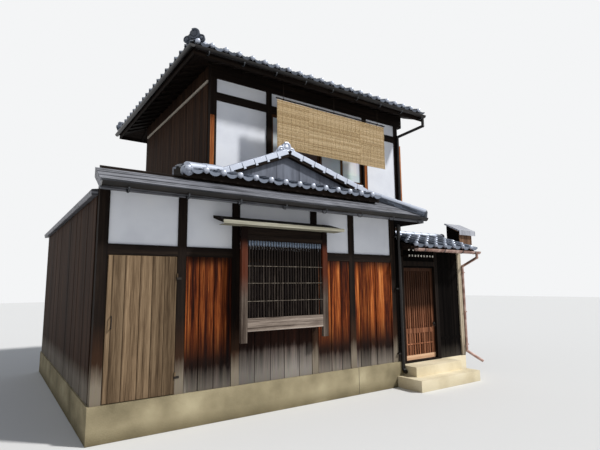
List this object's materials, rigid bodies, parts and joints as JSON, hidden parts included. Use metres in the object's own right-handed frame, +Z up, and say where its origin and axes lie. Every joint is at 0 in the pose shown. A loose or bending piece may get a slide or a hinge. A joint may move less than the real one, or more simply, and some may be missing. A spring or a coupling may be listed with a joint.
{
  "type": "machiya townhouse",
  "caption": "Two-storey timber townhouse with a street lattice window, gabled lower roof, set-back upper storey, side door and a roofed gate.",
  "frame": {"origin": "on the ground under the middle of the street front, on the centre line of the street posts", "axes": "+X to the right along the street front, +Y into the house, +Z up"},
  "size_m": [7.582, 6.8007, 7.0718],
  "materials": {
    "concrete": "rough cast concrete, stained",
    "floor_boards": "planed boards",
    "dark_timber": "dark stained cedar, weathered at the feet",
    "cedar_boards": "oiled cedar boards, bleached at the foot",
    "charred_boards": "dark weathered cedar boards",
    "lime_plaster": "smooth white lime plaster",
    "lattice_wood": "weathered grey-brown wood",
    "window_wood": "brown window frames",
    "zinc_sheet": "dull painted sheet metal",
    "roof_tile": "smoked silver-grey clay tile",
    "dark_gutter": "dark painted metal",
    "copper_gutter": "brown copper-coloured metal",
    "bamboo": "split bamboo blinds",
    "gate_timber": "weathered brown posts",
    "meter_wood": "bare boards under a metal lid",
    "door_boards": "grey-brown weathered boards",
    "gate_red_wood": "red-brown oiled cedar",
    "black_iron": "black iron"
  },
  "bodies": {
    "house": {"front_plinth": "concrete", "house_plinths": "concrete", "ground_floor": "floor_boards", "front_posts": "dark_timber", "front_beams": "dark_timber", "front_boards": "cedar_boards", "front_plaster": "lime_plaster", "left_wall": "charred_boards", "forecourt_walls": "charred_boards", "right_wall": "charred_boards", "rear_wall": "charred_boards", "carrying_beams": "dark_timber", "lattice_frame": "lattice_wood", "lattice_bars": "lattice_wood", "window_canopy": "lattice_wood", "ground_windows": "window_wood", "pent_roof": "zinc_sheet", "lower_gutter": "dark_gutter", "skirt_roof": "roof_tile", "gablet_face": "zinc_sheet", "gablet_rakes": "roof_tile", "lower_roof_left": "roof_tile", "lower_roof_right": "roof_tile", "lean_to_roof": "zinc_sheet", "corner_roof": "roof_tile", "lower_ridges": "roof_tile", "upper_floor": "floor_boards", "upper_posts": "dark_timber", "upper_beams": "dark_timber", "upper_rafters": "dark_timber", "upper_plaster": "lime_plaster", "upper_left_wall": "charred_boards", "upper_windows": "window_wood", "bamboo_blinds": "bamboo", "upper_roof_front": "roof_tile", "upper_roof_rear": "roof_tile", "upper_roof_hip": "roof_tile", "upper_ridges": "roof_tile", "upper_gutter": "dark_gutter", "gate_frame": "gate_timber", "gate_panel": "charred_boards", "gate_roof": "roof_tile", "gate_gutter": "copper_gutter", "meter_box": "meter_wood", "entrance_steps": "concrete", "hinge_pins": "black_iron"},
    "side_leaf": {"side_door": "door_boards", "side_door_pull": "black_iron"},
    "gate_leaf": {"gate_door": "gate_red_wood", "gate_pull": "black_iron"}
  },
  "joints": [
    {"name": "side_door_hinge", "type": "hinge", "parent": "house", "child": "side_leaf", "pos_m": [-1.541, -0.072, 1], "axis": [0, 0, 1], "range_deg": [0, 100]},
    {"name": "gate_hinge", "type": "hinge", "parent": "house", "child": "gate_leaf", "pos_m": [2.799, 0.097, 1], "axis": [0, 0, 1], "range_deg": [0, 90]}
  ]
}
